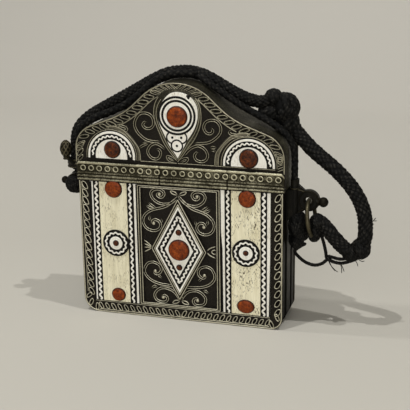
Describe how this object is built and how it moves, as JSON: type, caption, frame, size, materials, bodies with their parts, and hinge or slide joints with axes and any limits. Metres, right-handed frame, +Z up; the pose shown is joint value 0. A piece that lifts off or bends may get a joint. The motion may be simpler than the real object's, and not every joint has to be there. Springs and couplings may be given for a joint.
{
  "type": "quran case",
  "caption": "Flat metal case with a slip-on ogee lid, bone and coral inlay on its front, side lugs, a wire ring and a braided carrying cord.",
  "frame": {"origin": "bottom centre of the case at mid-depth, on the surface it stands on", "axes": "+Z up, front with the inlay towards -Y, +X towards the side with the cord loop and the ring"},
  "size_m": [0.1847, 0.037, 0.1456],
  "materials": {
    "silver": "worn and tarnished silver-coloured metal, satin",
    "dark_silver": "dark patinated metal, satin",
    "bone": "cream bone, satin",
    "white_bone": "white bone, satin",
    "inlay": "white bone waves in a black filling, satin",
    "coral": "orange-brown coral, semi-polished",
    "dark_coral": "dark red-brown coral, semi-polished",
    "cord": "black braided silk, dull"
  },
  "bodies": {
    "case_body": {"body_side_wall": "dark_silver", "body_front_plate": "silver", "body_back_plate": "dark_silver", "side_moulding_mid": "dark_silver", "side_moulding_back": "dark_silver", "inner_sleeve": "silver", "panel_frame": "silver", "lozenge_frame": "silver", "lozenge_border": "inlay", "lozenge_bone": "bone", "lozenge_coral_centre": "coral", "lozenge_coral_upper": "coral", "lozenge_coral_lower": "coral", "strip_left_edge_outer": "white_bone", "strip_left_zigzag_outer": "inlay", "strip_left_bone": "bone", "strip_left_zigzag_inner": "inlay", "strip_left_edge_inner": "white_bone", "rosette_left": "inlay", "rosette_coral_left": "coral", "coral_upper_left": "coral", "coral_lower_left": "coral", "strip_right_edge_outer": "white_bone", "strip_right_zigzag_outer": "inlay", "strip_right_bone": "bone", "strip_right_zigzag_inner": "inlay", "strip_right_edge_inner": "white_bone", "rosette_right": "inlay", "rosette_coral_right": "coral", "coral_upper_right": "coral", "coral_lower_right": "coral", "body_lug_right": "dark_silver", "body_lug_left": "dark_silver", "cord_knot_left": "cord", "cord_strap_lower": "cord", "cord_strap_knot": "cord", "cord_loop": "cord", "binding_string": "cord"},
    "lid": {"lid_rim": "dark_silver", "lid_front_plate": "silver", "lid_back_plate": "dark_silver", "hem_band": "silver", "teardrop_frame": "silver", "teardrop_bone": "white_bone", "teardrop_coral": "coral", "halfround_frame_left": "silver", "halfround_bone_left": "white_bone", "halfround_coral_left": "dark_coral", "halfround_frame_right": "silver", "halfround_bone_right": "white_bone", "halfround_coral_right": "dark_coral", "lid_lug_left": "dark_silver", "cord_over_lid": "cord", "cord_knot_top": "cord", "cord_strap_upper": "cord", "cord_loop_upper": "cord"},
    "ring": {"cord_ring": "silver", "cord_hitch": "cord"}
  },
  "joints": [
    {"name": "lid_lift", "type": "slide", "parent": "case_body", "child": "lid", "axis": [0, 0, 1], "range_m": [0, 0.025]},
    {"name": "ring_swing", "type": "hinge", "parent": "case_body", "child": "ring", "pos_m": [0.0714, -0.0025, 0.0736], "axis": [0, 1, 0], "range_deg": [-24, 5]}
  ]
}
